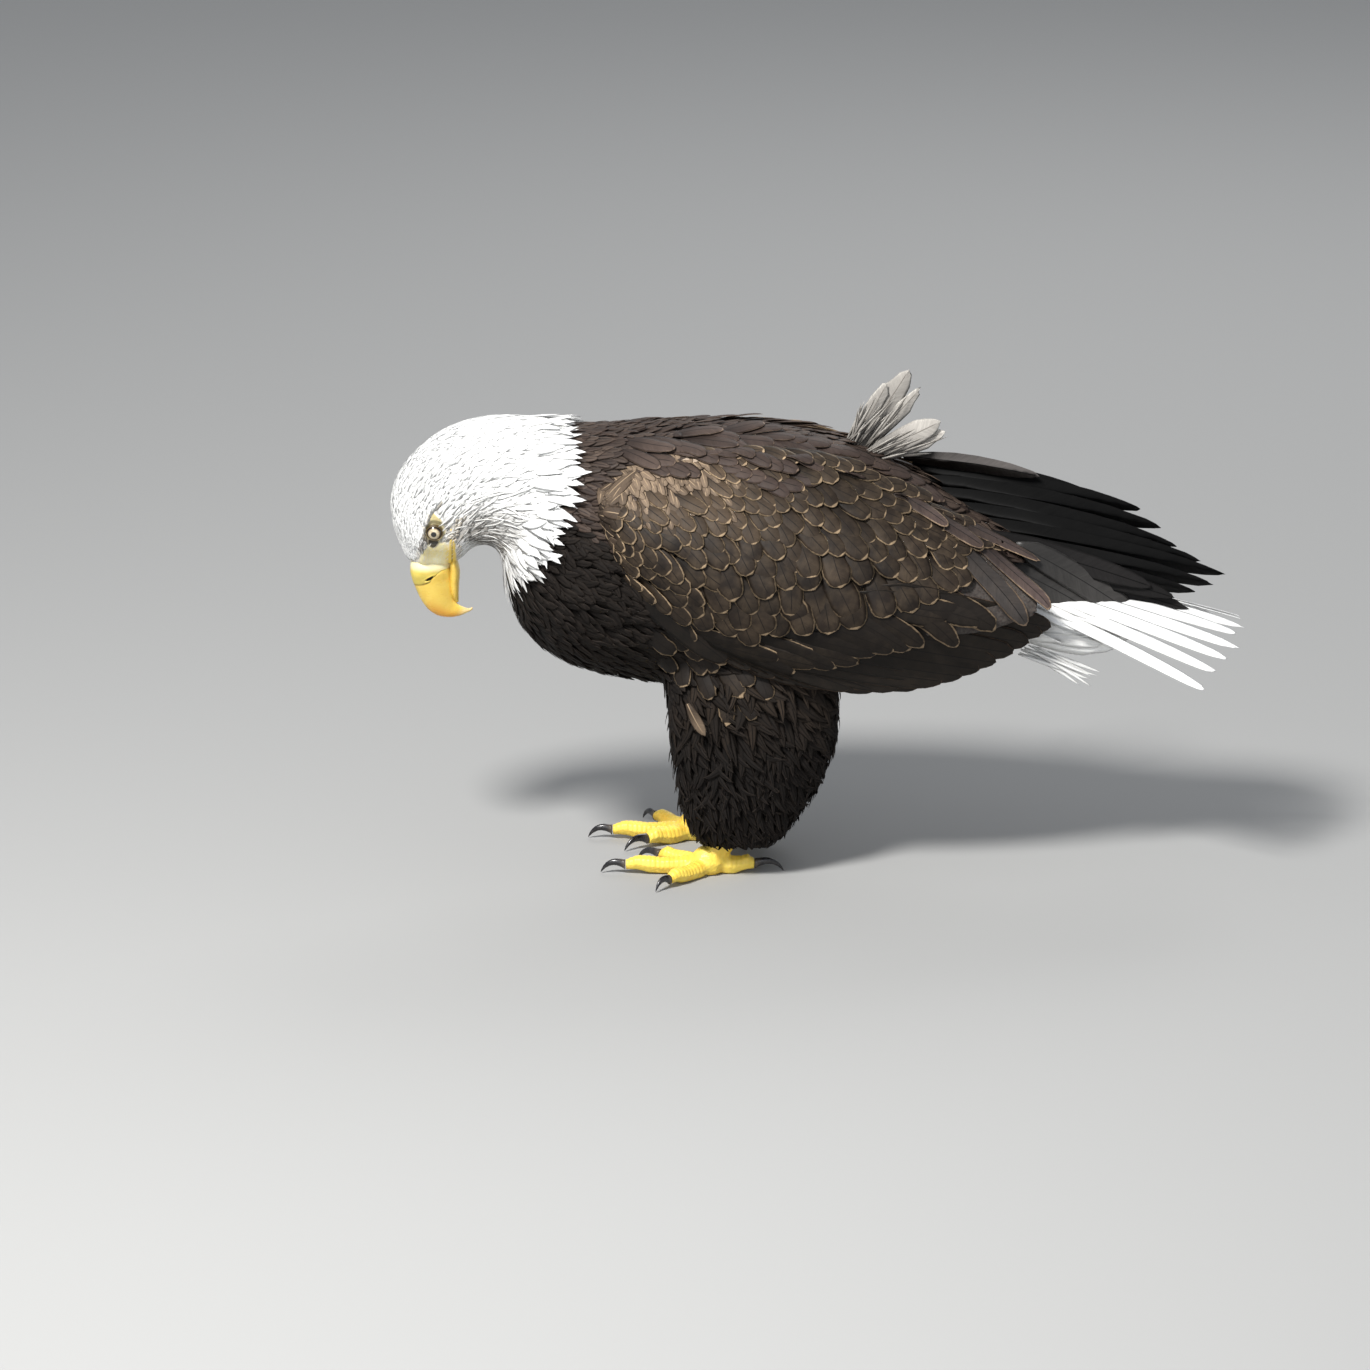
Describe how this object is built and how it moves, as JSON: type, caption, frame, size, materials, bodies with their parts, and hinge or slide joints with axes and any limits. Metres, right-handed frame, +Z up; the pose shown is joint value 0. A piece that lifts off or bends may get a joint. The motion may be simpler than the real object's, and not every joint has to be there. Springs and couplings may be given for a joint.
{
  "type": "bald eagle",
  "caption": "Life-size adult bald eagle, standing with its head bent down to the ground in front of its feet, wings folded and tail held level.",
  "frame": {"origin": "on the floor, under the middle of the bird's bounding box", "axes": "+Z up; the bird faces -X, its tail points along +X and its left side is towards -Y"},
  "size_m": [0.737, 0.2414, 0.4324],
  "materials": {
    "white_plumage": "matt white feathers",
    "brown_plumage": "matt dark brown feathers with tan edges",
    "wing_feathers": "matt brown vanes",
    "black_feathers": "satin black-brown vanes",
    "tail_feathers": "matt white vanes",
    "grey_feathers": "matt pale grey vanes",
    "foot_scales": "satin yellow scales",
    "cere": "satin yellow skin",
    "bill_horn": "satin yellow-orange horn",
    "claw_horn": "satin blue-black horn",
    "eye": "wet gloss, pale iris and black pupil"
  },
  "bodies": {
    "root": {"bill_lower": "bill_horn", "bill_upper": "bill_horn", "bill_upper_cere": "cere", "claw_hind_left": "claw_horn", "claw_hind_right": "claw_horn", "claw_inner_left": "claw_horn", "claw_inner_right": "claw_horn", "claw_middle_left": "claw_horn", "claw_middle_right": "claw_horn", "claw_outer_left": "claw_horn", "claw_outer_right": "claw_horn", "eye_left": "eye", "eye_right": "eye", "foot_left": "foot_scales", "foot_right": "foot_scales", "head": "white_plumage", "lifted_feather_low": "grey_feathers", "lifted_feather_tall": "grey_feathers", "neck": "white_plumage", "primaries_left": "black_feathers", "primaries_right": "black_feathers", "rump": "brown_plumage", "secondaries_left": "wing_feathers", "secondaries_right": "wing_feathers", "shank_left": "foot_scales", "shank_right": "foot_scales", "tail": "tail_feathers", "tertials_left": "wing_feathers", "tertials_right": "wing_feathers", "thigh_left": "brown_plumage", "thigh_right": "brown_plumage", "toe_hind_left": "foot_scales", "toe_hind_right": "foot_scales", "toe_inner_left": "foot_scales", "toe_inner_right": "foot_scales", "toe_middle_left": "foot_scales", "toe_middle_right": "foot_scales", "toe_outer_left": "foot_scales", "toe_outer_right": "foot_scales", "trunk": "brown_plumage", "wing_left": "brown_plumage", "wing_right": "brown_plumage"}
  },
  "joints": []
}
